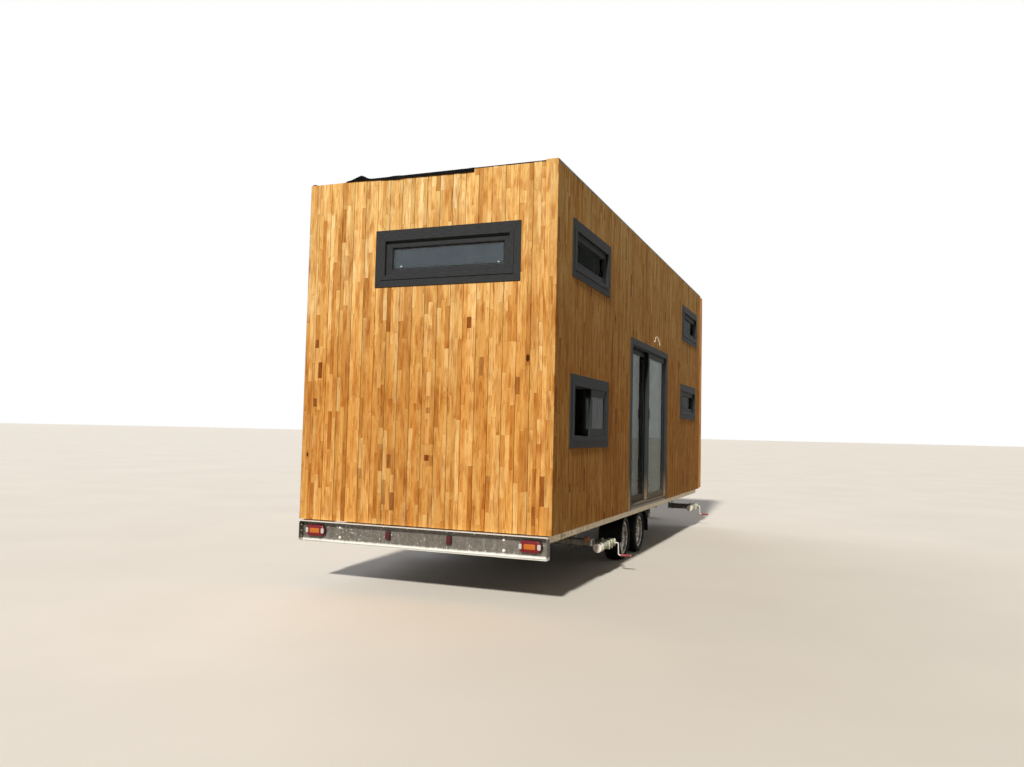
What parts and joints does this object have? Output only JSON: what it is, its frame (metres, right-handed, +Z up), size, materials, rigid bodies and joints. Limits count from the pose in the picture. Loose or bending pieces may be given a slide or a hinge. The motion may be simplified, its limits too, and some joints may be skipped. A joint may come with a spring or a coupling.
{
  "type": "tiny house on wheels",
  "caption": "Flat-roofed timber-clad cabin on a galvanised tandem-axle trailer, with ribbon windows, a sliding glass door, swivel jacks and a drawbar.",
  "frame": {"origin": "on the ground, at the centre of the whole object's plan, drawbar included", "axes": "+Z up; +Y forward, towards the drawbar; +X to the side with the door"},
  "size_m": [2.83, 8.735, 3.8042],
  "materials": {
    "timber_frame": "sawn",
    "boards": "oiled",
    "membrane": "matte",
    "dark_metal": "satin",
    "galvanised_steel": "hot-dip galvanised",
    "rubber": "matte",
    "cast_iron": "painted black",
    "black_plastic": "moulded",
    "red_lens": "moulded lens",
    "amber_lens": "moulded lens",
    "frame_foil": "woodgrain foil",
    "glass": "clear",
    "sill_metal": "anodised",
    "cable_sheath": "smooth",
    "tyre": "matte",
    "rim_steel": "silver paint",
    "crank_steel": "zinc plated"
  },
  "bodies": {
    "house": {"rear_wall": "timber_frame", "front_wall": "timber_frame", "left_wall": "timber_frame", "right_wall_rear": "timber_frame", "right_wall_front": "timber_frame", "right_wall_over_door": "timber_frame", "cladding": "boards", "corner_boards": "boards", "roof_deck": "timber_frame", "parapet": "timber_frame", "roof_membrane": "membrane", "coping": "dark_metal", "floor_deck": "timber_frame", "side_rails": "galvanised_steel", "main_beams": "galvanised_steel", "cross_members": "galvanised_steel", "low_beam": "galvanised_steel", "rear_beam": "galvanised_steel", "drawbar": "galvanised_steel", "coupling_head": "galvanised_steel", "jockey_stand": "galvanised_steel", "jockey_wheel": "rubber", "axle_beams": "galvanised_steel", "swing_arms": "cast_iron", "mudguards": "black_plastic", "rear_lamps": "red_lens", "side_markers": "amber_lens", "jack_hangers": "galvanised_steel", "window_frames": "frame_foil", "window_sashes": "frame_foil", "window_glass": "glass", "door_frame": "frame_foil", "door_sill": "sill_metal", "door_fixed_leaf": "frame_foil", "door_fixed_glass": "glass", "lamp_cable": "cable_sheath", "cable_gland": "cable_sheath"},
    "wheel_rear_right": {"tyre_rear_right": "tyre", "rim_rear_right": "rim_steel"},
    "wheel_rear_left": {"tyre_rear_left": "tyre", "rim_rear_left": "rim_steel"},
    "wheel_front_right": {"tyre_front_right": "tyre", "rim_front_right": "rim_steel"},
    "wheel_front_left": {"tyre_front_left": "tyre", "rim_front_left": "rim_steel"},
    "jack_rear_right": {"jack_tube_rear_right": "galvanised_steel"},
    "leg_rear_right": {"jack_leg_rear_right": "galvanised_steel"},
    "crank_rear_right": {"jack_crank_rear_right": "crank_steel"},
    "jack_rear_left": {"jack_tube_rear_left": "galvanised_steel"},
    "leg_rear_left": {"jack_leg_rear_left": "galvanised_steel"},
    "crank_rear_left": {"jack_crank_rear_left": "crank_steel"},
    "jack_front_right": {"jack_tube_front_right": "galvanised_steel"},
    "leg_front_right": {"jack_leg_front_right": "galvanised_steel"},
    "crank_front_right": {"jack_crank_front_right": "crank_steel"},
    "jack_front_left": {"jack_tube_front_left": "galvanised_steel"},
    "leg_front_left": {"jack_leg_front_left": "galvanised_steel"},
    "crank_front_left": {"jack_crank_front_left": "crank_steel"},
    "door_leaf": {"door_sliding_leaf": "frame_foil", "door_sliding_glass": "glass"}
  },
  "joints": [
    {"name": "wheel_spin_rear_right", "type": "hinge", "parent": "house", "child": "wheel_rear_right", "pos_m": [1.025, -1.3625, 0.253], "axis": [1, 0, 0], "continuous": true},
    {"name": "wheel_spin_rear_left", "type": "hinge", "parent": "house", "child": "wheel_rear_left", "pos_m": [-1.025, -1.3625, 0.253], "axis": [1, 0, 0], "continuous": true},
    {"name": "wheel_spin_front_right", "type": "hinge", "parent": "house", "child": "wheel_front_right", "pos_m": [1.025, -0.6125, 0.253], "axis": [1, 0, 0], "continuous": true},
    {"name": "wheel_spin_front_left", "type": "hinge", "parent": "house", "child": "wheel_front_left", "pos_m": [-1.025, -0.6125, 0.253], "axis": [1, 0, 0], "continuous": true},
    {"name": "jack_swivel_rear_right", "type": "hinge", "parent": "house", "child": "jack_rear_right", "pos_m": [1.2, -2.4125, 0.305], "axis": [1, 0, 0], "range_deg": [0, 90]},
    {"name": "leg_slide_rear_right", "type": "slide", "parent": "jack_rear_right", "child": "leg_rear_right", "axis": [0, -1, 0], "range_m": [-0.07, 0.2]},
    {"name": "crank_spin_rear_right", "type": "hinge", "parent": "jack_rear_right", "child": "crank_rear_right", "pos_m": [1.25, -2.2575, 0.305], "axis": [1, 0, 0], "continuous": true},
    {"name": "jack_swivel_rear_left", "type": "hinge", "parent": "house", "child": "jack_rear_left", "pos_m": [-1.2, -2.4125, 0.305], "axis": [1, 0, 0], "range_deg": [0, 90]},
    {"name": "leg_slide_rear_left", "type": "slide", "parent": "jack_rear_left", "child": "leg_rear_left", "axis": [0, -1, 0], "range_m": [-0.07, 0.2]},
    {"name": "crank_spin_rear_left", "type": "hinge", "parent": "jack_rear_left", "child": "crank_rear_left", "pos_m": [-1.25, -2.2575, 0.305], "axis": [1, 0, 0], "continuous": true},
    {"name": "jack_swivel_front_right", "type": "hinge", "parent": "house", "child": "jack_front_right", "pos_m": [1.2, 2.8125, 0.305], "axis": [1, 0, 0], "range_deg": [0, 90]},
    {"name": "leg_slide_front_right", "type": "slide", "parent": "jack_front_right", "child": "leg_front_right", "axis": [0, -1, 0], "range_m": [-0.07, 0.2]},
    {"name": "crank_spin_front_right", "type": "hinge", "parent": "jack_front_right", "child": "crank_front_right", "pos_m": [1.25, 2.9675, 0.305], "axis": [1, 0, 0], "continuous": true},
    {"name": "jack_swivel_front_left", "type": "hinge", "parent": "house", "child": "jack_front_left", "pos_m": [-1.2, 2.8125, 0.305], "axis": [1, 0, 0], "range_deg": [0, 90]},
    {"name": "leg_slide_front_left", "type": "slide", "parent": "jack_front_left", "child": "leg_front_left", "axis": [0, -1, 0], "range_m": [-0.07, 0.2]},
    {"name": "crank_spin_front_left", "type": "hinge", "parent": "jack_front_left", "child": "crank_front_left", "pos_m": [-1.25, 2.9675, 0.305], "axis": [1, 0, 0], "continuous": true},
    {"name": "door_slide", "type": "slide", "parent": "house", "child": "door_leaf", "axis": [0, -1, 0], "range_m": [0, 0.86]}
  ]
}
